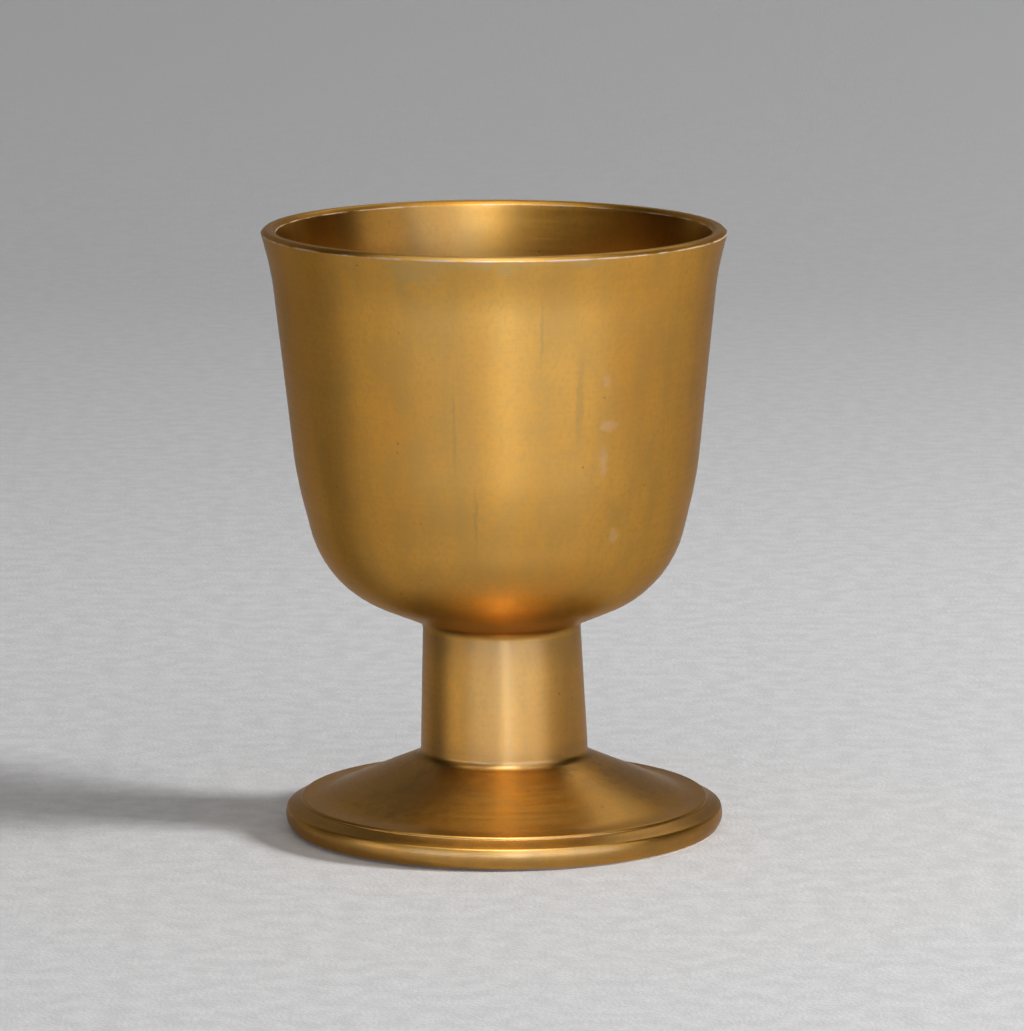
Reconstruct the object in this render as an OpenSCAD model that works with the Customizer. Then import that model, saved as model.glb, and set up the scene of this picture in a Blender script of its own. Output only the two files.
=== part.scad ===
// Porcelain stem cup in a gilt glaze: a deep bowl on a hollow stem and a spreading foot.
// The three parts are thrown one by one, joined end to end with slip, then glazed and gilded.
// Millimetres, +Z up, with the origin in the middle of the foot ring, on the table.

/* [Bowl] */
// Height of the bowl, from its joint with the stem to the crown of the lip
bowl_h = 61.5; // [54:0.5:72]
// Outside diameter of the mouth, at the outer arris of the lip
mouth_d = 70.5; // [66:0.5:78]
// Diameter where the side meets the flare under the lip
flare_d = 67.5; // [62:0.5:70]
// How far below the crown of the lip the flare starts
flare_drop = 6.6; // [4:0.2:10]
// Diameter where the side meets the belly
side_d = 60.9; // [57:0.1:64]
// Height above the joint where the side meets the belly
side_h = 23.8; // [20:0.2:28]
// Diameter where the belly meets the underside
belly_d = 52.7; // [46:0.1:57]
// Height above the joint where the belly meets the underside
belly_h = 7.2; // [5:0.1:9]
// Height above the joint where the underside leaves the neck
neck_h = 1.15; // [0.8:0.05:1.6]
// Thickness of the wall and of the lip
wall_t = 2.2; // [1.6:0.1:3]
// Thickness of the floor in the middle, above the joint
floor_t = 6.5; // [4:0.1:9]

/* [Bowl roundings] */
// Hollow radius between the neck and the underside
neck_r = 1.5; // [0.4:0.1:1.6]
// Radius of the belly
belly_r = 17; // [10:0.5:18]
// Radius of the bend between the belly and the side
side_r = 60; // [30:1:60]
// Hollow radius of the flare
flare_r = 38; // [15:1:40]
// Radius of the corner between the floor and the inside of the wall
floor_r = 14; // [6:0.5:16]
// Height of the crown of the lip above its two arrises
crown_h = 0.6; // [0.4:0.05:0.9]
// How far the crown is set in from each arris
crown_set = 0.6; // [0.45:0.05:0.75]
// Radius of the crown's shoulders
crown_r = 0.7; // [0.5:0.05:0.9]

/* [Stem] */
// Length of the stem between its two slip joints
stem_l = 16.7; // [10:0.1:30]
// Diameter of the stem at the bowl
stem_top_d = 24.1; // [22:0.1:28]
// Diameter of the stem at the foot
stem_base_d = 25.5; // [22:0.1:29]
// Bore through the stem and the foot
bore_d = 17; // [12:0.5:19]

/* [Foot] */
// Height of the foot, from the table to its joint with the stem
foot_h = 13.1; // [11.5:0.1:15]
// Height of the collar between the slope and the joint with the stem
collar_h = 1.6; // [1.2:0.1:2.6]
// Width of the rim between the slope and the step
rim_w = 3.2; // [2:0.1:5]
// Height of the rim, at the step
rim_h = 4.9; // [4.7:0.1:6]
// Rise of the rim from the step to the slope
rim_rise = 0.1; // [0:0.05:0.5]
// Diameter of the step between the rim and the bevel
step_d = 62.2; // [58:0.2:64]
// Depth of the step
step_h = 0.45; // [0.4:0.05:0.6]
// Diameter of the arris between the bevel and the side
arris_d = 66.4; // [65.4:0.1:67]
// Height of that arris
arris_h = 3.45; // [2.8:0.05:3.7]
// Diameter of the side at its swell, before it is rounded
swell_d = 67.3; // [66.8:0.1:69]
// Height of the swell
swell_h = 1.9; // [1.4:0.05:2.2]
// Diameter of the side at the table
base_d = 64.9; // [62:0.1:66]
// Thickness of the sloping wall, from its gilt face to the hollow
foot_t = 3.2; // [2.4:0.1:4]
// Width of the flat ring that stands on the table
ring_w = 4.6; // [3:0.1:7]
// Height of the bare edge below the glaze
bare_h = 0.5; // [0.3:0.05:1]

/* [Foot roundings] */
// Hollow radius between the collar and the slope
collar_r = 1.5; // [0.6:0.1:1.6]
// Hollow radius where the slope runs out into the rim
toe_r = 8; // [2:0.5:8]
// Radius of the rim's edge, at the step
step_r = 0.45; // [0.4:0.05:0.5]
// Radius of the swell
swell_r = 2.6; // [1.5:0.1:2.8]
// Radius between the hollow and the inside of the ring
hollow_r = 2; // [1:0.1:3]

/* [Glaze and slip] */
// Thickness of the gilt glaze
glaze_t = 0.3; // [0.2:0.05:0.35]
// Thickness of each slip joint
slip_t = 0.5; // [0.3:0.1:1]

/* [Hidden] */
$fn = 96;

// How far a rounding circle laps past its tangent points, so that it cuts its edges cleanly
lap = 0.0005;
// How far the cut of a rounding reaches past the corner that it rounds
past_corner = glaze_t / 3;
// How many times further than the lapped arc the cut of a hollow reaches
cut_margin = 3;
// Largest share of an edge that its roundings may take
straight_share = 0.97;

// Heights of the joints, from the foot upwards
foot_joint_z = foot_h;
stem_base_z = foot_joint_z + slip_t;
stem_top_z = stem_base_z + stem_l;
bowl_joint_z = stem_top_z + slip_t;
crown_z = bowl_joint_z + bowl_h;
arris_z = crown_z - crown_h;

// An outline is a list of corners [radius, height, rounding], with the solid on its left.
function spot(corner) = [corner[0], corner[1]];
function unit(v) = v / norm(v);
function left_of(v) = [-v[1], v[0]];
function ring_item(list, i) = list[(i + len(list)) % len(list)];

// Directions from corner i to its neighbours, and the angle between them
function to_prev(c, i) = unit(spot(ring_item(c, i - 1)) - spot(c[i]));
function to_next(c, i) = unit(spot(ring_item(c, i + 1)) - spot(c[i]));
function corner_angle(c, i) = acos(to_prev(c, i) * to_next(c, i));
function turns_left(c, i) = left_of(-to_prev(c, i)) * to_next(c, i) > 0;

// Tangent points and centre of the rounding at corner i
function tangent_l(c, i) = c[i][2] == 0 ? 0 : c[i][2] / tan(corner_angle(c, i) / 2);
function round_start(c, i) = spot(c[i]) + to_prev(c, i) * tangent_l(c, i);
function round_end(c, i) = spot(c[i]) + to_next(c, i) * tangent_l(c, i);
function from_center(c, i) = -unit(to_prev(c, i) + to_next(c, i));
function round_center(c, i) =
    spot(c[i]) - from_center(c, i) * c[i][2] / sin(corner_angle(c, i) / 2);

// Two roundings that are too large for the edge between them shrink until both fit on it
function edge_share(c, i, j) =
    straight_share * norm(spot(c[j]) - spot(c[i])) / (tangent_l(c, i) + tangent_l(c, j));
function fitting_round(c, i) = c[i][2] * min(1, edge_share(c, i, i - 1), edge_share(c, i, i + 1));
function limited(c) = [
    for (i = [0:len(c) - 1])
        c[i][2] == 0 ? c[i] : [each spot(c[i]), fitting_round(c, i)]
];

// The same outline, moved by d into the solid: its first end is cut level,
// and its last end is cut level too, or lies on the axis
function edge_left(c, i) = left_of(to_next(c, i));
function moved_spot(c, i, d) =
    spot(c[i]) + d * (edge_left(c, i - 1) + edge_left(c, i))
    / (1 + edge_left(c, i - 1) * edge_left(c, i));
function moved_end(c, i, side, d) =
    spot(c[i]) + (c[i][0] == 0 ? [0, d / side[1]] : [d / side[0], 0]);
function moved_round(c, i, d) =
    c[i][2] == 0 ? 0 : c[i][2] + (turns_left(c, i) ? -d : d);
function moved(c, d) = let (last = len(c) - 1) [
    [each moved_end(c, 0, edge_left(c, 0), d), 0],
    for (i = [1:last - 1]) [each moved_spot(c, i, d), moved_round(c, i, d)],
    [each moved_end(c, last, edge_left(c, last - 1), d), 0]
];

// An outline closed by level lines to the axis
function to_axis(corner) = corner[0] == 0 ? [] : [[0, corner[1], 0]];
function closed(c) = concat(to_axis(c[0]), c, to_axis(c[len(c) - 1]));

// Where the line through a and b reaches the height z, or the radius r
function at_height(a, b, z) = a[0] + (b[0] - a[0]) * (z - a[1]) / (b[1] - a[1]);
function at_radius(a, b, r) = a[1] + (b[1] - a[1]) * (r - a[0]) / (b[0] - a[0]);

// Gilt face of the bowl: up the outside, over the lip and down to the middle of the floor
outer_face = limited([
    [stem_top_d / 2, bowl_joint_z, 0],
    [stem_top_d / 2, bowl_joint_z + neck_h, neck_r],
    [belly_d / 2, bowl_joint_z + belly_h, belly_r],
    [side_d / 2, bowl_joint_z + side_h, side_r],
    [flare_d / 2, crown_z - flare_drop, flare_r],
    [mouth_d / 2, arris_z, 0]
]);
inner_wall = moved(outer_face, wall_t);
inner_belly = inner_wall[2];
inner_side = inner_wall[3];
inner_flare = inner_wall[4];
inner_arris = inner_wall[5];
crown = [
    [mouth_d / 2 - crown_set, crown_z, crown_r],
    [inner_arris[0] + crown_set, crown_z, crown_r]
];
floor_z = bowl_joint_z + floor_t;
inner_face = [
    inner_arris,
    inner_flare,
    inner_side,
    [at_height(inner_belly, inner_side, floor_z), floor_z, floor_r],
    [0, floor_z, 0]
];
bowl_face = limited(concat(outer_face, crown, inner_face));
bowl_body_face = moved(bowl_face, glaze_t);

// Gilt face of the stem, from joint to joint
stem_face = [
    [stem_base_d / 2, foot_joint_z, 0],
    [stem_top_d / 2, bowl_joint_z, 0]
];
stem_body_face = [for (corner = stem_face) corner - [glaze_t, 0, 0]];
function stem_body_r(z) = at_height(stem_body_face[0], stem_body_face[1], z);

// Gilt face of the foot: from the table up the side, over the bevel, the step and the rim to the collar
slope_base = [step_d / 2 - rim_w, rim_h + rim_rise];
slope_top = [stem_base_d / 2, foot_joint_z - collar_h];
foot_face = limited([
    [base_d / 2, 0, 0],
    [swell_d / 2, swell_h, swell_r],
    [arris_d / 2, arris_h, 0],
    [step_d / 2, rim_h - step_h, 0],
    [step_d / 2, rim_h, step_r],
    [each slope_base, toe_r],
    [each slope_top, collar_r],
    [stem_base_d / 2, foot_joint_z, 0]
]);
foot_body_face = moved(foot_face, glaze_t);

// Hollow under the foot, below a face that keeps clear of the slope and the rim by the wall
slope_inward = left_of(unit(slope_top - slope_base)) * foot_t;
function hollow_z(r) = at_radius(slope_base + slope_inward, slope_top + slope_inward, r);
ring_inner_r = base_d / 2 - glaze_t - ring_w;
hollow_ring_z = max(hollow_z(ring_inner_r), rim_h - foot_t);
hollow_face = limited([
    [bore_d / 2, foot_joint_z, 0],
    [bore_d / 2, hollow_z(bore_d / 2), hollow_r],
    [ring_inner_r, hollow_ring_z, hollow_r],
    [ring_inner_r, 0, 0]
]);

// The tip outside the rounding of a corner that points out of the solid
module corner_tip(c, i) {
    difference() {
        polygon([
            round_start(c, i),
            spot(c[i]) + from_center(c, i) * past_corner,
            round_end(c, i)
        ]);
        round_disc(c, i);
    }
}

// The hollow of a corner that points into the solid, beyond the chord of its rounding.
// The lapped arc crosses its edges sqrt(2 * radius * lap) past the tangent points; the cut reaches further
module corner_hollow(c, i) {
    along = unit(round_end(c, i) - round_start(c, i));
    out = from_center(c, i);
    margin = cut_margin * sqrt(2 * c[i][2] * lap);
    start = round_start(c, i) - along * margin;
    end = round_end(c, i) + along * margin;
    intersection() {
        round_disc(c, i);
        polygon([
            start - out * margin,
            end - out * margin,
            end + out * c[i][2],
            start + out * c[i][2]
        ]);
    }
}

module round_disc(c, i) {
    translate(round_center(c, i)) circle(r = c[i][2] + lap);
}

// A closed outline with each corner rounded by its own arc
module rounded_outline(c) {
    function blank(i) = c[i][2] == 0 || turns_left(c, i)
        ? [spot(c[i])]
        : [round_start(c, i), round_end(c, i)];
    difference() {
        polygon([for (i = [0:len(c) - 1]) each blank(i)]);
        for (i = [0:len(c) - 1])
            if (c[i][2] > 0) {
                if (turns_left(c, i)) corner_tip(c, i);
                else corner_hollow(c, i);
            }
    }
}

module turned(c) {
    rotate_extrude() rounded_outline(c);
}

// The layer between a gilt face and the face of the body under it
module glaze_layer(face, body_face) {
    difference() {
        rounded_outline(closed(face));
        rounded_outline(closed(body_face));
    }
}

// A length of tube from z0 to z1, between the bore and the stem's body face
module stem_length(z0, z1) {
    turned([
        [bore_d / 2, z0, 0],
        [stem_body_r(z0), z0, 0],
        [stem_body_r(z1), z1, 0],
        [bore_d / 2, z1, 0]
    ]);
}

module bowl() {
    color("ghostwhite") turned(closed(bowl_body_face));
}

module stem() {
    color("ghostwhite") stem_length(stem_base_z, stem_top_z);
}

module foot() {
    color("ghostwhite") turned(concat(foot_body_face, hollow_face));
}

module bowl_slip() {
    color("linen") stem_length(stem_top_z, bowl_joint_z);
}

module foot_slip() {
    color("linen") stem_length(foot_joint_z, stem_base_z);
}

module bowl_glaze() {
    color("darkgoldenrod")
        rotate_extrude() glaze_layer(bowl_face, bowl_body_face);
}

module stem_glaze() {
    color("darkgoldenrod")
        rotate_extrude() glaze_layer(stem_face, stem_body_face);
}

module foot_glaze() {
    color("darkgoldenrod")
        rotate_extrude() difference() {
            glaze_layer(foot_face, foot_body_face);
            square([swell_d, bare_h]);
        }
}

bowl();
stem();
foot();
bowl_slip();
foot_slip();
bowl_glaze();
stem_glaze();
foot_glaze();
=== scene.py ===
# %% [markdown]
# # A gilt porcelain stem cup
# The real cup is a deep bowl on a short hollow stem and a spreading foot. A potter throws the three
# parts one by one, joins them end to end with slip, glazes them, and lays burnished gold over the glaze.
# The lesson keeps that order: the bodies, the glaze that carries the gold, the finishes, and at last
# the table, the light and the camera. Lengths are in metres and +Z is up.

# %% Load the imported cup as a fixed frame
import cmath
import math

import bpy
import numpy
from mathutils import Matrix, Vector, noise


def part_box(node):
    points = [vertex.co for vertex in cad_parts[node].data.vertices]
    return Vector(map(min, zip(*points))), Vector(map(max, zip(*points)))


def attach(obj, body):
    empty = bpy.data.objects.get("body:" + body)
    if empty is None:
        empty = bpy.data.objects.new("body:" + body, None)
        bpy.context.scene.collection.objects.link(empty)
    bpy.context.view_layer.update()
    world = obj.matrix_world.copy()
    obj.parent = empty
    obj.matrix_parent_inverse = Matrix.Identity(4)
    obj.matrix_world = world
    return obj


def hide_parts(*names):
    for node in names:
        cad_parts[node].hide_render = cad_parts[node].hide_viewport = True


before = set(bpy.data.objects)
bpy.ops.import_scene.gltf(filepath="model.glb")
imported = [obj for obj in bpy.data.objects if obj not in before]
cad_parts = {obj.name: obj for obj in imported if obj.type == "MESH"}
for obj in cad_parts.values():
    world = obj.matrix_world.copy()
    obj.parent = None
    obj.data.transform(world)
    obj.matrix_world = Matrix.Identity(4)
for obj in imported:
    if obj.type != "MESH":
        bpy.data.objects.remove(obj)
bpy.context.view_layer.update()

MM = 0.001
print("CAD nodes:", ", ".join(sorted(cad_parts)))

# %% [markdown]
# ## The sizes of the cup
# Where a piece sits is read from the frame, so the dressed pieces always meet at the joints of the
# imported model. A box says nothing about the corners inside an outline, so those are named here as
# a potter would measure them with callipers: a radius and a height for each corner, and the radius
# of its rounding.

# %% Heights and widths that the frame gives
foot_joint_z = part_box("stem_glaze")[0].z
stem_base_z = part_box("stem")[0].z
stem_top_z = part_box("stem")[1].z
bowl_joint_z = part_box("bowl_glaze")[0].z
crown_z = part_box("bowl_glaze")[1].z
mouth_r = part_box("bowl_glaze")[1].x
stem_base_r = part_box("stem_glaze")[1].x
bare_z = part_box("foot_glaze")[0].z
joint_heights = [round(z / MM, 2) for z in (foot_joint_z, bowl_joint_z)]
print("joints at", joint_heights, "mm, lip at", round(crown_z / MM, 2), "mm")

# %% Corners of the bowl
neck_h = 1.15 * MM
neck_round = 1.5 * MM
belly_r = 26.35 * MM
belly_h = 7.2 * MM
belly_round = 17 * MM
side_r = 30.45 * MM
side_h = 23.8 * MM
side_round = 60 * MM
flare_r = 33.75 * MM
flare_drop = 6.6 * MM
flare_round = 38 * MM
wall_t = 2.2 * MM
floor_t = 6.5 * MM
floor_round = 14 * MM
crown_h = 0.6 * MM
crown_set = 0.6 * MM
crown_round = 0.7 * MM
lip_round = 0.14 * MM
print("bowl flares from", round(side_r / MM, 2), "to", round(mouth_r / MM, 2), "mm")

# %% Corners of the stem and the foot
stem_top_r = 12.05 * MM
bore_r = 8.5 * MM
collar_h = 1.6 * MM
collar_round = 1.5 * MM
rim_w = 3.2 * MM
rim_z = 4.9 * MM
rim_rise = 0.1 * MM
toe_round = 8 * MM
step_r = 31.1 * MM
step_h = 0.45 * MM
step_round = 0.4 * MM
groove_round = 0.08 * MM
arris_r = 33.2 * MM
arris_z = 3.45 * MM
arris_round = 0.45 * MM
swell_r = 33.65 * MM
swell_z = 1.9 * MM
swell_round = 2.6 * MM
base_r = 32.45 * MM
foot_t = 3.2 * MM
ring_w = 4.6 * MM
hollow_round = 2 * MM
glaze_t = 0.3 * MM
print("foot swells from", round(base_r / MM, 2), "to", round(swell_r / MM, 2), "mm")

# %% [markdown]
# ## Drawing an outline
# Every piece is turned, so it needs only half of its cross-section. A point of that section is held as
# one complex number, radius + height * 1j: multiplying by 1j then makes a quarter turn, which keeps the
# geometry short. An outline is a list of corners with the radius of their rounding, and the clay lies
# on its left. A subdivision surface could round the corners too, but arcs keep the sizes exact.

# %% Outline helpers
FACE_STEP = 0.9 * MM
ARC_STEP = math.radians(9)


def unit(step):
    return step / abs(step)


def dot(a, b):
    return (a.conjugate() * b).real


def moved(corners, depth):
    """The same outline, moved by depth into the clay. Ends stay level, or slide along the axis."""
    spots = [spot for spot, _ in corners]
    lefts = [unit(b - a) * 1j for a, b in zip(spots, spots[1:])]
    done = []
    for i, (spot, rounding) in enumerate(corners):
        before = lefts[max(i - 1, 0)]
        after = lefts[min(i, len(lefts) - 1)]
        step = depth * (before + after) / (1 + dot(before, after))
        if i in (0, len(lefts)):
            step = depth / after.imag * 1j if spot.real == 0 else depth / after.real
        turns_left = (before.conjugate() * after).imag > 0
        growth = -depth if turns_left else depth
        done.append((spot + step, max(0, rounding + growth) if rounding else 0))
    return done


def filled(path):
    """The path with points added, so that no stretch is longer than FACE_STEP."""
    full = path[:1]
    for a, b in zip(path, path[1:]):
        count = math.ceil(abs(b - a) / FACE_STEP)
        full += [a + (b - a) * k / count for k in range(1, count + 1)]
    return full


def rounded(corners):
    """Points along an outline, with an arc at each rounded corner."""
    path = [corners[0][0]]
    for (before, _), (spot, rounding), (after, _) in zip(corners, corners[1:], corners[2:]):
        along = unit(spot - before)
        turn = cmath.phase(unit(after - spot) / along)
        start = spot - along * rounding * abs(math.tan(turn / 2))
        centre = start + along * 1j * math.copysign(rounding, turn)
        sweep = abs(turn)
        count = max(1, math.ceil(sweep / ARC_STEP), math.ceil(sweep * rounding / FACE_STEP))
        path += [centre + (start - centre) * cmath.exp(1j * turn * k / count) for k in range(count + 1)]
    return filled(path + [corners[-1][0]])


# %% [markdown]
# ## The outlines
# The bowl's gilt face runs up the outside, over the lip and down to the middle of the floor. Its inside
# is the outside moved in by the wall. The arrises of the lip and the foot are sharp to the eye, but a
# burnisher always leaves them a hair round, and that hair is what catches the light as a bright line.

# %% Outline of the bowl
lip_z = crown_z - crown_h
floor_z = bowl_joint_z + floor_t
neck_corner = stem_top_r + (bowl_joint_z + neck_h) * 1j
outer_lip = mouth_r + lip_z * 1j
bowl_outside = [
    (stem_top_r + bowl_joint_z * 1j, 0),
    (neck_corner, neck_round),
    (belly_r + (bowl_joint_z + belly_h) * 1j, belly_round),
    (side_r + (bowl_joint_z + side_h) * 1j, side_round),
    (flare_r + (crown_z - flare_drop) * 1j, flare_round),
    (outer_lip, lip_round),
]
bowl_inside = moved(bowl_outside, wall_t)
inner_belly, inner_side, inner_flare, inner_lip = (spot for spot, _ in bowl_inside[2:])
inner_side_round, inner_flare_round = (rounding for _, rounding in bowl_inside[3:5])
floor_share = (floor_z - inner_belly.imag) / (inner_side.imag - inner_belly.imag)
floor_corner = inner_belly + (inner_side - inner_belly) * floor_share
bowl_face = bowl_outside + [
    (mouth_r - crown_set + crown_z * 1j, crown_round),
    (inner_lip.real + crown_set + crown_z * 1j, crown_round),
    (inner_lip, lip_round),
    (inner_flare, inner_flare_round),
    (inner_side, inner_side_round),
    (floor_corner, floor_round),
    (floor_z * 1j, 0),
]
print("lip is", round((mouth_r - inner_lip.real) / MM, 2), "mm wide")

# %% Outlines of the stem and the foot
stem_face = [(stem_base_r + foot_joint_z * 1j, 0), (stem_top_r + bowl_joint_z * 1j, 0)]
slope_top = stem_base_r + (foot_joint_z - collar_h) * 1j
slope_low = step_r - rim_w + (rim_z + rim_rise) * 1j
groove = step_r + (rim_z - step_h) * 1j
foot_arris = arris_r + arris_z * 1j
swell = swell_r + swell_z * 1j
foot_face = [
    (base_r + 0j, 0),
    (swell, swell_round),
    (foot_arris, arris_round),
    (groove, groove_round),
    (step_r + rim_z * 1j, step_round),
    (slope_low, toe_round),
    (slope_top, collar_round),
    (stem_base_r + foot_joint_z * 1j, 0),
]
slope_fall = (slope_low - slope_top).imag / (slope_low - slope_top).real
slope_drop = foot_t * math.hypot(1, slope_fall)


def hollow_at(r):
    """The point at radius r on the underside of the foot, which runs parallel to its slope."""
    return r + (slope_top.imag + slope_fall * (r - slope_top.real) - slope_drop) * 1j


ring_inner_r = base_r - glaze_t - ring_w
ring_top_z = max(hollow_at(ring_inner_r).imag, rim_z - foot_t)
hollow_face = [
    (bore_r + foot_joint_z * 1j, 0),
    (hollow_at(bore_r), hollow_round),
    (ring_inner_r + ring_top_z * 1j, hollow_round),
    (ring_inner_r + 0j, 0),
]
print("foot slopes by", round(-math.degrees(math.atan(slope_fall)), 1), "degrees")

# %% [markdown]
# ## Turning an outline on the wheel
# A Screw modifier could spin the outline, but this cup was luted by hand: its axis drifts by about a
# millimetre and a half between the foot and the lip. So the rings are set one by one on a leaning axis,
# and a slow noise keeps the wall from being perfectly round. Each vertex also remembers its radius and
# height on the outline in an attribute named turned, which the finishes use to find the arrises.

# %% The wheel
SPOKES = 288
ON_AXIS = 1e-9
SHARP_ANGLE = math.radians(40)
lean_z = [foot_joint_z, bowl_joint_z, bowl_joint_z + belly_h, crown_z]
lean_x = [0.75 * MM, 0.37 * MM, -0.2 * MM, -0.8 * MM]
thrown_wave = 22 * MM
thrown_depth = 0.035 * MM


def thrown(r, z, angle):
    """Where a point of the outline lies on the finished piece."""
    reach = Vector((math.cos(angle), math.sin(angle), 0))
    uneven = noise.noise((reach * r + Vector((0, 0, z))) / thrown_wave) * thrown_depth
    return reach * (r + uneven) + Vector((numpy.interp(z, lean_z, lean_x), 0, z))


def turned_mesh(name, loop):
    """A closed outline turned about the leaning axis of the cup."""
    verts, places, rings, faces = [], [], [], []
    for point in loop:
        r, z = point.real, point.imag
        count = 1 if r < ON_AXIS else SPOKES
        rings.append([len(verts) + k % count for k in range(SPOKES + 1)])
        verts += [thrown(r, z, math.tau * k / SPOKES) for k in range(count)]
        places += [r, z, 0] * count
    for low, high in zip(rings, rings[1:] + rings[:1]):
        for k in range(SPOKES):
            face = list(dict.fromkeys((low[k], low[k + 1], high[k + 1], high[k])))
            if len(face) > 2:
                faces.append(face)
    mesh = bpy.data.meshes.new(name)
    mesh.from_pydata(verts, [], faces)
    mesh.attributes.new("turned", "FLOAT_VECTOR", "POINT").data.foreach_set("vector", places)
    mesh.shade_smooth()
    mesh.set_sharp_from_angle(angle=SHARP_ANGLE)
    return mesh


def turned_piece(name, loop, node):
    """A turned piece that rides on the cup and stands for its CAD node, which it hides."""
    piece = bpy.data.objects.new(name, turned_mesh(name, loop))
    bpy.context.scene.collection.objects.link(piece)
    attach(piece, "root")
    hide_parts(node)
    print(name, "has", len(piece.data.polygons), "faces")
    return piece


# %% [markdown]
# ## The porcelain bodies and the slip
# Bowl, stem and foot are thrown apart. Each body ends a glaze's thickness under its gilt face, and the
# joints are thin rings of slip, squeezed flat as the parts were pressed together. They hide under the
# glaze, but they show from below, through the hollow of the foot.

# %% Porcelain bodies
bowl_body = rounded(moved(bowl_face, glaze_t))
foot_body = rounded(moved(foot_face, glaze_t))
stem_body = [spot for spot, _ in moved(stem_face, glaze_t)]


def stem_body_at(z):
    """The point of the stem's body face at height z."""
    share = (z - foot_joint_z) / (bowl_joint_z - foot_joint_z)
    return (stem_body[0] + (stem_body[1] - stem_body[0]) * share).real + z * 1j


def tube(low_z, high_z):
    """The closed outline of a length of the stem, from its body face to its bore."""
    corners = [bore_r + low_z * 1j, stem_body_at(low_z), stem_body_at(high_z), bore_r + high_z * 1j]
    return filled(corners + corners[:1])[:-1]


thrown_bowl = turned_piece("thrown_bowl", bowl_body + [bowl_joint_z * 1j], "bowl")
thrown_stem = turned_piece("thrown_stem", tube(stem_base_z, stem_top_z), "stem")
thrown_foot = turned_piece("thrown_foot", foot_body + rounded(hollow_face), "foot")

# %% Slip rings at the two joints
bowl_slip_ring = turned_piece("bowl_slip_ring", tube(stem_top_z, bowl_joint_z), "bowl_slip")
foot_slip_ring = turned_piece("foot_slip_ring", tube(foot_joint_z, stem_base_z), "foot_slip")

# %% [markdown]
# ## The glaze that carries the gold
# Glaze is a skin of even thickness, so it is the space between a gilt face and the body under it. On the
# foot it stops short of the table: a potter wipes the foot ring bare, or the cup would fuse to its shelf.

# %% Glaze skins


def above(path, z):
    """The part of a rising outline that lies above height z, starting exactly on it."""
    first = next(i for i, point in enumerate(path) if point.imag > z)
    a, b = path[first - 1], path[first]
    return [a + (b - a) * (z - a.imag) / (b.imag - a.imag)] + path[first:]


def skin(face, body):
    """The closed outline of the skin between a gilt face and a body face."""
    return face + body[::-1]


bowl_skin = skin(rounded(bowl_face), bowl_body)
stem_skin = skin(rounded(stem_face), filled(stem_body))
foot_skin = skin(above(rounded(foot_face), bare_z), above(foot_body, bare_z))
gilt_bowl = turned_piece("gilt_bowl", bowl_skin, "bowl_glaze")
gilt_stem = turned_piece("gilt_stem", stem_skin, "stem_glaze")
gilt_foot = turned_piece("gilt_foot", foot_skin, "foot_glaze")

# %% [markdown]
# ## Node helpers
# A finish is a network of nodes. A few small helpers keep the networks readable: they add a node or a
# node group with its inputs set or linked by name, do arithmetic between sockets, and mix colours.

# %% Node helpers


def connect(tree, node, inputs):
    """Sets the inputs of a node to values, or links them to sockets."""
    for name, value in inputs.items():
        if isinstance(value, bpy.types.NodeSocket):
            tree.links.new(value, node.inputs[name])
        else:
            node.inputs[name].default_value = value


def add(tree, kind, inputs=None, **settings):
    """A new shader node, with its settings and its inputs."""
    node = tree.nodes.new("ShaderNode" + kind)
    for name, value in settings.items():
        setattr(node, name, value)
    connect(tree, node, inputs or {})
    return node


def sums(tree, operation, a, b=0.0, clamp=False):
    """The result of one arithmetic step."""
    return add(tree, "Math", {0: a, 1: b}, operation=operation, use_clamp=clamp).outputs[0]


def scaled_by(tree, mask, share):
    """A mask made weaker by a share."""
    return sums(tree, "MULTIPLY", mask, share, clamp=True)


def between(tree, share, low, high):
    """A colour between two others."""
    return add(tree, "Mix", {0: share, 6: low, 7: high}, data_type="RGBA").outputs[2]


def smooth_step(tree, spread):
    """A mask that rises smoothly between two levels of a value."""
    return add(tree, "MapRange", spread, interpolation_type="SMOOTHSTEP").outputs[0]


def new_group(name, inputs, outputs):
    """An empty node group with number inputs and outputs."""
    group = bpy.data.node_groups.new(name, "ShaderNodeTree")
    for label, value in inputs.items():
        socket = group.interface.new_socket(label, in_out="INPUT", socket_type="NodeSocketFloat")
        socket.default_value = value
    for label in outputs:
        group.interface.new_socket(label, in_out="OUTPUT", socket_type="NodeSocketFloat")
    return group, group.nodes.new("NodeGroupInput").outputs, group.nodes.new("NodeGroupOutput").inputs


def use(tree, group, **values):
    """The mask of a node group placed in a tree, with its inputs given by name in lower case."""
    node = add(tree, "Group", node_tree=group)
    connect(tree, node, {name.replace("_", " ").capitalize(): value for name, value in values.items()})
    return node.outputs["Mask"]


def new_finish(name):
    """A new material, with its node tree and its shader."""
    material = bpy.data.materials.new(name)
    material.use_nodes = True
    return material, material.node_tree, material.node_tree.nodes["Principled BSDF"]


def set_relief(tree, shader, height, strength, depth):
    """Gives a shader a fine relief."""
    bump = add(tree, "Bump", {"Height": height, "Strength": strength, "Distance": depth})
    tree.links.new(bump.outputs[0], shader.inputs["Normal"])


def colour(*rgb):
    return (*rgb, 1)


# %% [markdown]
# ## Effects that the finishes share
# Four effects come back in several finishes, so each is a node group that gives a mask. Clouds are slow
# patches, stretched upright or level as needed. Pinholes are the small pits where gas left the glaze.
# A ring is a band round the cup at one corner of its outline, found with the attribute named turned.
# A mark is a spot or a streak at one place, found by its angle and its height, with a frayed edge.

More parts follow.
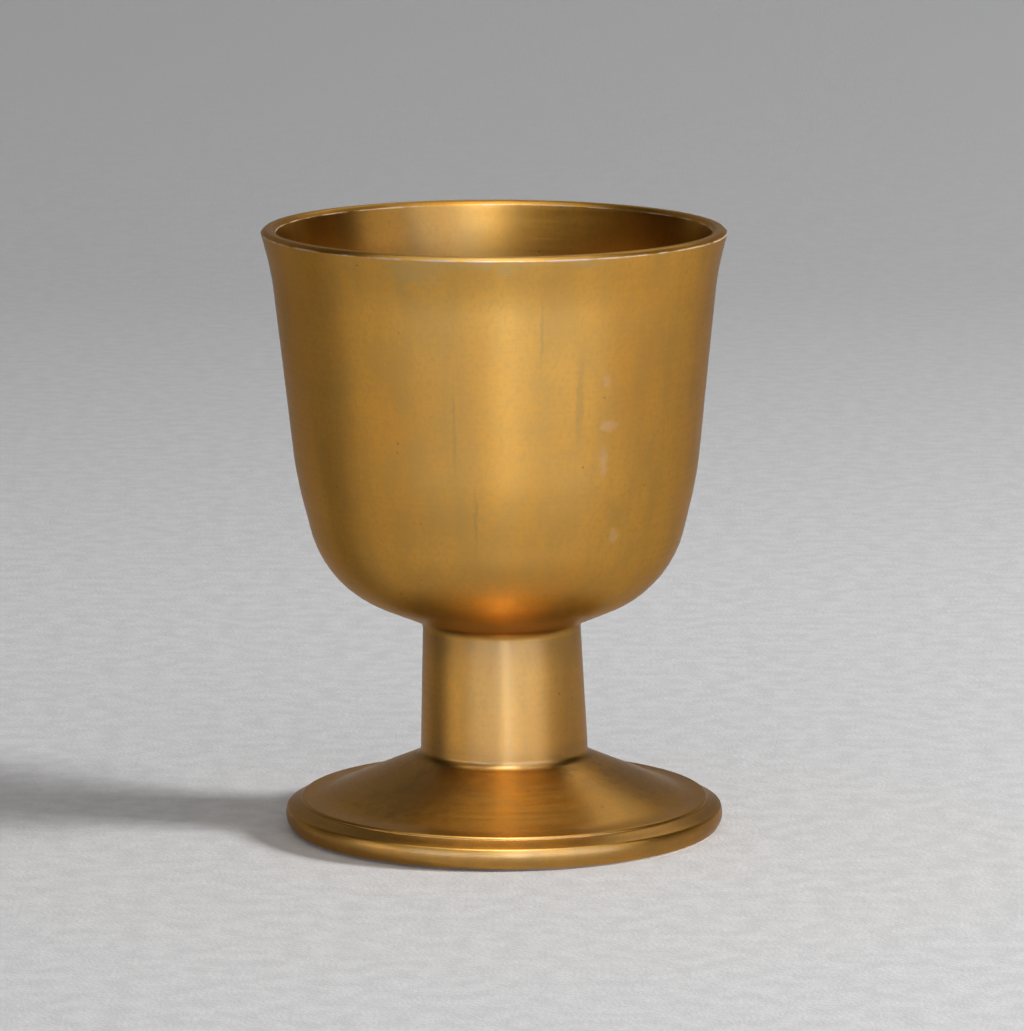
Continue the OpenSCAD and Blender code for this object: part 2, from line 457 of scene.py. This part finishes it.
# %% Clouds
cloud_inputs = {"Across": 1, "Up": 1, "Low": 0.4, "High": 0.6, "Detail": 3}
clouds, given, result = new_group("Clouds", cloud_inputs, ["Mask"])
place = add(clouds, "NewGeometry").outputs["Position"]
stretch = add(clouds, "CombineXYZ", {0: given["Across"], 1: given["Across"], 2: given["Up"]}).outputs[0]
scaled = add(clouds, "VectorMath", {0: place, 1: stretch}, operation="MULTIPLY").outputs[0]
drift = add(clouds, "TexNoise", {"Vector": scaled, "Scale": 1.0, "Detail": given["Detail"]}).outputs["Fac"]
spread = {"Value": drift, "From Min": given["Low"], "From Max": given["High"]}
clouds.links.new(smooth_step(clouds, spread), result["Mask"])
print("clouds take", list(cloud_inputs))

# %% Ring bands
ring_inputs = {"Radius": 0, "Height": 0, "Width": MM}
ring, given, result = new_group("Ring", ring_inputs, ["Mask"])
spot = add(ring, "Attribute", attribute_name="turned").outputs["Vector"]
corner = add(ring, "CombineXYZ", {0: given["Radius"], 1: given["Height"]}).outputs[0]
away = add(ring, "VectorMath", {0: spot, 1: corner}, operation="DISTANCE").outputs["Value"]
fade = {"Value": away, "From Min": given["Width"], "From Max": 0.0}
ring.links.new(smooth_step(ring, fade), result["Mask"])
print("rings take", list(ring_inputs))

# %% Marks
FRAY_PER_M = 700.0
FRAY_DETAIL = 3.0
MARK_CORE = 0.3
MIDDLE_GREY = (0.5, 0.5, 0.5)
mark_inputs = {"Angle": 0, "Height": 0, "Wide": MM, "Tall": MM, "Frayed": 0}
mark, given, result = new_group("Mark", mark_inputs, ["Mask"])
place = add(mark, "NewGeometry").outputs["Position"]
across = add(mark, "SeparateXYZ", {0: place}).outputs
spot = add(mark, "Attribute", attribute_name="turned").outputs["Vector"]
outline = add(mark, "SeparateXYZ", {0: spot}).outputs
azimuth = sums(mark, "ARCTAN2", across[0], sums(mark, "MULTIPLY", across[1], -1.0))
around = sums(mark, "MULTIPLY", sums(mark, "SUBTRACT", azimuth, given["Angle"]), outline[0])
rise = sums(mark, "SUBTRACT", outline[1], given["Height"])
fray = add(mark, "TexNoise", {"Vector": place, "Scale": FRAY_PER_M, "Detail": FRAY_DETAIL}).outputs["Color"]
push = add(mark, "VectorMath", {0: fray, 1: MIDDLE_GREY}, operation="SUBTRACT").outputs[0]
pushed = add(mark, "VectorMath", {0: push, "Scale": given["Frayed"]}, operation="SCALE").outputs[0]
offset = add(mark, "CombineXYZ", {0: around, 1: rise}).outputs[0]
frayed = add(mark, "VectorMath", {0: offset, 1: pushed}, operation="ADD").outputs[0]
extent = add(mark, "CombineXYZ", {0: given["Wide"], 1: given["Tall"], 2: 1.0}).outputs[0]
shares = add(mark, "VectorMath", {0: frayed, 1: extent}, operation="DIVIDE").outputs[0]
reach = add(mark, "VectorMath", {0: shares}, operation="LENGTH").outputs["Value"]
fade = {"Value": reach, "From Min": 1.0, "From Max": MARK_CORE}
mark.links.new(smooth_step(mark, fade), result["Mask"])
print("marks take", list(mark_inputs))

# %% Pinholes
pinhole_inputs = {"Per metre": 300, "Size": 0.1, "Share": 0.3}
pinholes, given, result = new_group("Pinholes", pinhole_inputs, ["Mask"])
place = add(pinholes, "NewGeometry").outputs["Position"]
cells = add(pinholes, "TexVoronoi", {"Vector": place, "Scale": given["Per metre"]}).outputs
fade = {"Value": cells["Distance"], "From Min": given["Size"], "From Max": 0.0}
near = add(pinholes, "MapRange", fade).outputs[0]
luck = add(pinholes, "SeparateColor", {0: cells["Color"]}).outputs[0]
chosen = sums(pinholes, "LESS_THAN", luck, given["Share"])
pinholes.links.new(sums(pinholes, "MULTIPLY", near, chosen), result["Mask"])
print("effects:", [group.name for group in bpy.data.node_groups])

# %% [markdown]
# ## Where the gold is worn, stained and darkened with painted shade
# Wear takes the gold where hands and shelves rub: along the arrises of the lip, and in a few small spots,
# the pale glaze under it shows. Drink and damp have left a grey stain under the lip and runs down the
# wall. Painted shade darkens the corners at both ends of the stem, the groove and the lower side of the
# foot and its bare edge at the table; the bevel has a darker band and the slope a few darker patches.
# Each place is named here as an angle in degrees, 0 at the front and 90 at the right, and a height in
# millimetres.

# %% Places of the wear and the painted shade


def ring_at(corner, width):
    """A band of some width, in millimetres, round a corner of the outline."""
    return ring, {"radius": corner.real, "height": corner.imag, "width": width * MM}


def mark_at(degrees, height, wide, tall, frayed):
    """A mark at an angle and a height, with its half width, half height and fraying in millimetres."""
    sizes = {"height": height * MM, "wide": wide * MM, "tall": tall * MM, "frayed": frayed * MM}
    return mark, {"angle": math.radians(degrees), **sizes}


SATIN_REACH = 40
bevel_mid = (foot_arris + groove) / 2
bowl_satin = [ring_at(mouth_r + (crown_z + bowl_joint_z) / 2 * 1j, SATIN_REACH)]
stem_satin = [ring_at(stem_top_r + (foot_joint_z + bowl_joint_z) / 2 * 1j, SATIN_REACH)]
bowl_arrises = [ring_at(outer_lip, 0.24), ring_at(inner_lip, 0.18)]
foot_arrises = [ring_at(foot_arris, 0.05)]
foot_grain = [ring_at(bevel_mid, 1.4)]
bowl_bare = [
    mark_at(30, 72.9, 1.1, 1.5, 2.6),
    mark_at(30, 60.7, 1, 2.8, 3),
    mark_at(36, 49.1, 1.1, 1.7, 2.6),
    mark_at(31, 66.3, 2.4, 1.4, 5),
]
bowl_stains = [
    mark_at(-8, 92, 17, 2.2, 3.4),
    mark_at(-21, 90, 6, 3, 5),
    mark_at(1.5, 90.5, 1.8, 1.7, 2.4),
    mark_at(21, 91.4, 4, 1.3, 1.8),
]
bowl_runs = [
    mark_at(11, 80.3, 0.4, 7, 0.8),
    mark_at(-12, 66, 0.4, 9, 0.9),
    mark_at(-6.5, 52.5, 0.45, 8, 1.4),
    mark_at(22, 70.3, 0.9, 9, 1.4),
]
# Painted shade in the corners where the bowl and the foot meet the stem, reaching far down the stem under
# the bowl.
bowl_neck_shade = [ring_at(neck_corner, 2)]
stem_end_shade = [ring_at(slope_top, 4), ring_at(neck_corner, 7)]
# Painted shade in the collar corner, in the groove and on the lower side of the foot, a darker band on the
# bevel, and three darker patches on the slope.
foot_shade_and_patches = [
    ring_at(slope_top, 2.4),
    ring_at(groove, 0.35),
    ring_at(bevel_mid, 1.5),
    ring_at(swell, 2),
    mark_at(40, 12.4, 5, 2, 5),
    mark_at(-42, 8.6, 18, 4, 7),
    mark_at(75, 8.2, 12, 3, 7),
]
# Painted contact shade along the bare edge of the foot where it meets the table.
foot_contact_shade = [ring_at(base_r + bare_z * 1j, 1)]
print("marks on the bowl:", len(bowl_bare + bowl_stains + bowl_runs))

# %% [markdown]
# ## Gilding
# Burnished gold is a metal, so its colour belongs in Base Color with Metallic at 1, and how it was
# polished belongs in Roughness. The burnisher ran round the cup as it turned, and its level lines spread
# each highlight up and down: that is what Anisotropic does, along a tangent that runs round the axis.
# Years of handling have dulled the wall and the stem to a satin, while the foot and the underside of the
# bowl, out of reach, kept more of their polish and mirror each other in a deeper orange. A thin coat
# stands for the film of grease that whitens the highlights. Where the gold is gone, the surface is bare
# glaze and stops being a metal.

# %% Colours of the gold
GOLD = colour(0.58, 0.28, 0.036)
OCHRE = colour(0.55, 0.25, 0.028)
OLIVE = colour(0.42, 0.225, 0.04)
TARNISH = colour(0.33, 0.19, 0.04)
GREY_FILM = colour(0.40, 0.24, 0.058)
# The umber is the colour of the painted shade in the corners and on the foot, and of the darker patches.
UMBER_SHADE = colour(0.30, 0.155, 0.032)
SOOT = colour(0.16, 0.085, 0.028)
GRAZING = colour(0.55, 0.42, 0.25)
BARE_GLAZE = colour(0.58, 0.49, 0.42)
print("gold runs from", GOLD[:3], "to", OLIVE[:3])

# %% Patterns in the gold, in cycles per metre, and how strongly each one shows
TONE = {"across": 46, "up": 30, "low": 0.35, "high": 0.68}
DRIPS = {"across": 280, "up": 16, "low": 0.46, "high": 0.74}
LINES = {"across": 60, "up": 4200, "low": 0.3, "high": 0.7, "detail": 2}
BREAKS = {"across": 260, "up": 260, "low": 0.38, "high": 0.6}
PATCHES = {"across": 230, "up": 110, "low": 0.4, "high": 0.7, "detail": 6}
MOTTLE = {"across": 330, "up": 330, "low": 0.4, "high": 0.7}
SPECKS = {"across": 1700, "up": 1300, "low": 0.42, "high": 0.72, "detail": 5}
PITS = {"per_metre": 330, "size": 0.1, "share": 0.2}
GRAINS = {"per_metre": 2600, "size": 0.45, "share": 0.5}
RUBBED_SHARE = 0.7
BARE_SHARE = 0.11
LINE_SHARE = 0.14
PATCH_SHARE = 0.5
SPECK_SHARE = 0.55
DRIP_SHARE = 0.4
RUN_SHARE = 0.5
FILM_SHARE = 0.6
# The painted shade and darker patches show at this share, and a slow mottle varies them between a least and
# a spread.
SHADE_AND_PATCH_SHARE = 1.0
PIT_SHARE = 0.8
SHADE_AND_PATCH_LEAST = 0.5
SHADE_AND_PATCH_SPREAD = 0.3
print("burnishing lines every", round(1000 / LINES["up"], 2), "mm")

# %% Gilding
SATIN = 0.4
POLISH = 0.35
LINE_DULLING = 0.05
FILM_DULLING = 0.08
PIT_DEPTH = 8.0
GILT_STRENGTH = 0.04
GILT_RELIEF = 0.02 * MM
BURNISHING = 0.6
UPRIGHT = 0.25
COAT_ROUGHNESS = 0.28


def most(tree, masks):
    """The strongest of several masks, or none at all."""
    strongest = 0.0
    for mask in masks:
        strongest = sums(tree, "MAXIMUM", strongest, mask)
    return strongest


def placed(tree, places):
    """The mask of a list of rings and marks."""
    return most(tree, [use(tree, group, **values) for group, values in places])


def gilding(name, coat, satin=(), arrises=(), bare=(), stains=(), runs=(), shade_and_patches=(), grain=()):
    """Burnished gold on glaze, with the places where it is satin, worn, stained, grainy, or darkened by
    painted shade and darker patches.
    """
    material, tree, shader = new_finish(name)
    lines = use(tree, clouds, **LINES)
    pits = use(tree, pinholes, **PITS)
    film = placed(tree, stains)
    rubbed = scaled_by(tree, placed(tree, arrises), use(tree, clouds, **BREAKS))
    rubbed = scaled_by(tree, rubbed, RUBBED_SHARE)
    bare_mask = most(tree, [rubbed, scaled_by(tree, placed(tree, bare), BARE_SHARE)])
    rough_grain = sums(tree, "MULTIPLY", placed(tree, grain), use(tree, pinholes, **GRAINS))
    # Painted shade and darker patches, broken by a slow mottle and cleared where the grains of the bevel
    # stand up.
    uneven = sums(tree, "MULTIPLY", use(tree, clouds, **MOTTLE), SHADE_AND_PATCH_SPREAD)
    uneven = sums(tree, "ADD", uneven, SHADE_AND_PATCH_LEAST)
    shade_and_patch_mask = scaled_by(tree, placed(tree, shade_and_patches), uneven)
    shade_and_patch_mask = sums(tree, "SUBTRACT", shade_and_patch_mask, rough_grain, clamp=True)
    layers = [
        (lines, LINE_SHARE, OLIVE),
        (use(tree, clouds, **PATCHES), PATCH_SHARE, OLIVE),
        (use(tree, clouds, **SPECKS), SPECK_SHARE, OLIVE),
        (use(tree, clouds, **DRIPS), DRIP_SHARE, OLIVE),
        (placed(tree, runs), RUN_SHARE, TARNISH),
        (film, FILM_SHARE, GREY_FILM),
        (shade_and_patch_mask, SHADE_AND_PATCH_SHARE, UMBER_SHADE),
        (pits, PIT_SHARE, SOOT),
    ]
    gold = between(tree, use(tree, clouds, **TONE), GOLD, OCHRE)
    for mask, share, tint in layers:
        gold = between(tree, scaled_by(tree, mask, share), gold, tint)
    tree.links.new(between(tree, bare_mask, gold, BARE_GLAZE), shader.inputs["Base Color"])
    tree.links.new(sums(tree, "SUBTRACT", 1.0, bare_mask), shader.inputs["Metallic"])
    dulled = sums(tree, "MULTIPLY", lines, LINE_DULLING)
    dulled = sums(tree, "ADD", dulled, sums(tree, "MULTIPLY", film, FILM_DULLING))
    dulled = sums(tree, "ADD", dulled, sums(tree, "MULTIPLY", placed(tree, satin), SATIN - POLISH))
    tree.links.new(sums(tree, "ADD", dulled, POLISH), shader.inputs["Roughness"])
    sunk = sums(tree, "MULTIPLY", most(tree, [pits, rough_grain]), PIT_DEPTH)
    set_relief(tree, shader, sums(tree, "SUBTRACT", lines, sunk), GILT_STRENGTH, GILT_RELIEF)
    round_axis = add(tree, "Tangent", direction_type="RADIAL", axis="Z").outputs[0]
    tree.links.new(round_axis, shader.inputs["Tangent"])
    shader.inputs["Anisotropic"].default_value = BURNISHING
    shader.inputs["Anisotropic Rotation"].default_value = UPRIGHT
    shader.inputs["Specular Tint"].default_value = GRAZING
    shader.inputs["Coat Weight"].default_value = coat
    shader.inputs["Coat Roughness"].default_value = COAT_ROUGHNESS
    return material


bowl_wear = {"arrises": bowl_arrises, "bare": bowl_bare, "stains": bowl_stains, "runs": bowl_runs}
bowl_gilding = gilding("bowl_gilding", 0.3, satin=bowl_satin, shade_and_patches=bowl_neck_shade, **bowl_wear)
stem_gilding = gilding("stem_gilding", 0.45, satin=stem_satin, shade_and_patches=stem_end_shade)
foot_gilding = gilding("foot_gilding", 0.4, arrises=foot_arrises, shade_and_patches=foot_shade_and_patches, grain=foot_grain)
gildings = {gilt_bowl: bowl_gilding, gilt_stem: stem_gilding, gilt_foot: foot_gilding}
for piece, finish in gildings.items():
    piece.data.materials.append(finish)
    print(finish.name, "has", len(finish.node_tree.nodes), "nodes")

# %% [markdown]
# ## Bare porcelain and slip
# Fired porcelain without glaze is matt and faintly warm, with specks of kiln dust, and the bare edge of
# the foot carries painted contact shade where it meets the table. Slip is the same clay, watered down,
# and dries a little darker and coarser.

# %% Porcelain and slip
CLAY_TONE = {"across": 90, "up": 160, "low": 0.35, "high": 0.7}
CLAY_GRAIN = {"across": 2600, "up": 2600, "low": 0.2, "high": 0.8, "detail": 2}
KILN_SPECKS = {"per_metre": 700, "size": 0.2, "share": 0.12}
CONTACT_SHADE_SHARE = 0.85
GRAIN_DULLING = 0.12
CLAY_STRENGTH = 0.3
CLAY_RELIEF = 0.03 * MM
PORCELAIN = colour(0.78, 0.74, 0.71)
PORCELAIN_SHADE = colour(0.62, 0.55, 0.49)
PORCELAIN_ROUGHNESS = 0.62
SLIP = colour(0.74, 0.68, 0.61)
SLIP_SHADE = colour(0.6, 0.52, 0.44)
SLIP_ROUGHNESS = 0.72


def fired_clay(name, pale, dark, rough, contact_shaded=()):
    """Bare fired clay, with slow clouds of colour, a fine grain and places darkened by painted shade."""
    material, tree, shader = new_finish(name)
    grain = use(tree, clouds, **CLAY_GRAIN)
    clay = between(tree, use(tree, clouds, **CLAY_TONE), pale, dark)
    # Painted contact shade in umber on the bare edge.
    clay = between(tree, scaled_by(tree, placed(tree, contact_shaded), CONTACT_SHADE_SHARE), clay, UMBER_SHADE)
    clay = between(tree, use(tree, pinholes, **KILN_SPECKS), clay, SOOT)
    tree.links.new(clay, shader.inputs["Base Color"])
    dulled = sums(tree, "MULTIPLY", grain, GRAIN_DULLING)
    tree.links.new(sums(tree, "ADD", dulled, rough), shader.inputs["Roughness"])
    set_relief(tree, shader, grain, CLAY_STRENGTH, CLAY_RELIEF)
    return material


porcelain = fired_clay("bare_porcelain", PORCELAIN, PORCELAIN_SHADE, PORCELAIN_ROUGHNESS, foot_contact_shade)
fired_slip = fired_clay("fired_slip", SLIP, SLIP_SHADE, SLIP_ROUGHNESS)
bodies = [thrown_bowl, thrown_stem, thrown_foot]
slip_rings = [bowl_slip_ring, foot_slip_ring]
for piece in bodies:
    piece.data.materials.append(porcelain)
for piece in slip_rings:
    piece.data.materials.append(fired_slip)
print("bare clay on", len(bodies + slip_rings), "pieces")

# %% [markdown]
# ## The table
# The cup stands on pale paper that sweeps up behind it in one long bend, so there is no horizon. Paper is
# a felt of fibres: under a lens it is never one flat grey, and its mottling keeps the floor from looking
# like plastic. The paper is painted darker towards the back and up the roll, a painted shade for the light
# falling off.

# %% Paper sweep
SWEEP_HALF_W = 2.2
SWEEP_FRONT = -1.6
SWEEP_BACK = 0.6
SWEEP_R = 1.1
SWEEP_TOP = 2.2
SWEEP_STEPS = 36
turns = [math.tau / 4 * k / SWEEP_STEPS for k in range(SWEEP_STEPS + 1)]
bend = [(SWEEP_BACK + SWEEP_R * math.sin(a), SWEEP_R - SWEEP_R * math.cos(a)) for a in turns]
side_view = [(SWEEP_FRONT, 0)] + bend + [(SWEEP_BACK + SWEEP_R, SWEEP_TOP)]
sweep_verts = [(x, y, z) for y, z in side_view for x in (-SWEEP_HALF_W, SWEEP_HALF_W)]
sweep_faces = [(2 * i, 2 * i + 1, 2 * i + 3, 2 * i + 2) for i in range(len(side_view) - 1)]
paper_mesh = bpy.data.meshes.new("paper_sweep")
paper_mesh.from_pydata(sweep_verts, [], sweep_faces)
paper_mesh.shade_smooth()
paper_sweep = bpy.data.objects.new("paper_sweep", paper_mesh)
bpy.context.scene.collection.objects.link(paper_sweep)
print("paper sweeps up over", SWEEP_R, "m")

# %% Paper
FADE_FROM = 0.2
FADE_TO = 0.9
FIBRES = {"across": 1500, "up": 1500, "low": 0.3, "high": 0.7, "detail": 4}
FELT = {"across": 260, "up": 260, "low": 0.3, "high": 0.7, "detail": 5}
FELT_SHARE = 0.6
PAPER = colour(0.65, 0.65, 0.655)
PAPER_LIGHT = colour(0.71, 0.71, 0.715)
PAPER_FELT = colour(0.56, 0.56, 0.565)
PAPER_FAR_SHADE = colour(0.50, 0.50, 0.505)
PAPER_ROUGHNESS = 0.9
PAPER_STRENGTH = 0.25
PAPER_RELIEF = 0.08 * MM
paper, tree, shader = new_finish("pale_paper")
fibres = use(tree, clouds, **FIBRES)
sheet = between(tree, fibres, PAPER, PAPER_LIGHT)
sheet = between(tree, scaled_by(tree, use(tree, clouds, **FELT), FELT_SHARE), sheet, PAPER_FELT)
depth = add(tree, "SeparateXYZ", {0: add(tree, "NewGeometry").outputs["Position"]}).outputs[1]
# Painted shade: the paper darkens from front to back, standing in for the light falling off.
far_shade = add(tree, "MapRange", {"Value": depth, "From Min": FADE_FROM, "From Max": FADE_TO}).outputs[0]
tree.links.new(between(tree, far_shade, sheet, PAPER_FAR_SHADE), shader.inputs["Base Color"])
shader.inputs["Roughness"].default_value = PAPER_ROUGHNESS
shader.inputs["Specular IOR Level"].default_value = 0
set_relief(tree, shader, fibres, PAPER_STRENGTH, PAPER_RELIEF)
paper_mesh.materials.append(paper)
print("paper has", len(tree.nodes), "nodes")

# %% [markdown]
# ## Light
# A small softbox on the right throws the shadow to the left, and a wide one in front fills it. Polished
# metal shows every lamp, so a photographer flags these two off the cup and gives the gold softboxes of its
# own, which leave the paper alone. Low strips in front, just over the table, make the broad sheen of the
# wall and the bright line down its middle. Boxes higher up light the inside and the foot, and a card at
# the right and a panel behind pick out the edges. The front ones are cool, because the highlights on the
# cup are whiter than its gold. A lamp's ray visibility does the flagging here.

# %% Softboxes
TARGET = Vector((0, 0, 0.05))
NEUTRAL = (1, 1, 1)
COOL = (0.87, 1.1, 2.2)
FILL = 0.33


def softbox(name, azimuth, elevation, distance, width, height, watts, tint, in_gold):
    """An area light that faces the cup. Azimuth 0 is on the camera's side and 90 on the right."""
    a, e = math.radians(azimuth), math.radians(elevation)
    reach = Vector((math.sin(a) * math.cos(e), -math.cos(a) * math.cos(e), math.sin(e)))
    lamp = bpy.data.lights.new(name, "AREA")
    lamp.shape = "RECTANGLE"
    lamp.size = width
    lamp.size_y = height
    lamp.energy = watts
    lamp.color = tint
    box = bpy.data.objects.new(name, lamp)
    box.location = TARGET + reach * distance
    box.rotation_euler = reach.to_track_quat("Z", "Y").to_euler()
    box.visible_camera = False
    box.visible_glossy = in_gold
    box.visible_diffuse = not in_gold
    bpy.context.scene.collection.objects.link(box)


# Each row: name, azimuth and elevation in degrees, distance, width and height in metres, watts, tint
table_lamps = [
    ("table_key", 77, 22, 1.3, 0.26, 0.26, 22, NEUTRAL),
    ("table_fill", 10, 45, 1.6, 2.4, 1.2, 4, NEUTRAL),
]
gold_lamps = [
    ("low_left", -26, 1, 1.1, 0.9, 0.1, 2.5, COOL),
    ("low_strip", 5, 1, 1.1, 0.2, 0.1, 1.8, COOL),
    ("low_right", 36, 1, 1.1, 1, 0.1, 2.4, COOL),
    ("low_far_left", -66, 1, 1.1, 0.6, 0.1, 1.1, NEUTRAL),
    ("front_right", 30, 20, 1.1, 0.7, 0.7, 2, COOL),
    ("high_front", 6, 42, 1.1, 0.3, 0.4, 2.8, COOL),
    ("top_front", 0, 62, 1.1, 0.6, 0.5, 8, NEUTRAL),
    ("top_right", 60, 58, 1.1, 0.5, 0.5, 2, NEUTRAL),
    ("top_left", -60, 58, 1.1, 0.5, 0.5, 1.8, NEUTRAL),
    ("right_card", 66, 14, 1.1, 0.5, 0.3, 0.7, NEUTRAL),
    ("back_panel", 160, 46, 1.2, 0.8, 0.5, 1.3, NEUTRAL),
]
for row in table_lamps:
    softbox(*row, in_gold=False)
for row in gold_lamps:
    softbox(*row, in_gold=True)
world = bpy.data.worlds.new("studio")
bpy.context.scene.world = world
world.use_nodes = True
world.cycles_visibility.glossy = False
world.node_tree.nodes["Background"].inputs["Color"].default_value = colour(*NEUTRAL)
world.node_tree.nodes["Background"].inputs["Strength"].default_value = FILL
print("lamps:", [lamp.name for lamp in bpy.data.lights])

# %% [markdown]
# ## Camera
# The photographer stood back with a long lens, a hand's breadth above the lip, and looked down a little:
# the mouth is a narrow ellipse and the sides hardly converge. Blender counts the sensor on the longer
# side of the picture.

# %% Camera
PHOTO_W = 1024
PHOTO_H = 1031
SENSOR = 36
FOCAL_PX = 6667
CAMERA_PLACE = (1.93 * MM, -1000 * MM, 219.37 * MM)
CAMERA_DIP = 9.716
camera_data = bpy.data.cameras.new("camera")
camera_data.sensor_width = SENSOR
camera_data.lens = FOCAL_PX / max(PHOTO_W, PHOTO_H) * SENSOR
camera = bpy.data.objects.new("camera", camera_data)
camera.location = CAMERA_PLACE
camera.rotation_euler = (math.radians(90 - CAMERA_DIP), 0, 0)
bpy.context.scene.collection.objects.link(camera)
bpy.context.scene.camera = camera
bpy.context.scene.view_settings.view_transform = "Standard"
print("lens", round(camera_data.lens, 1), "mm")
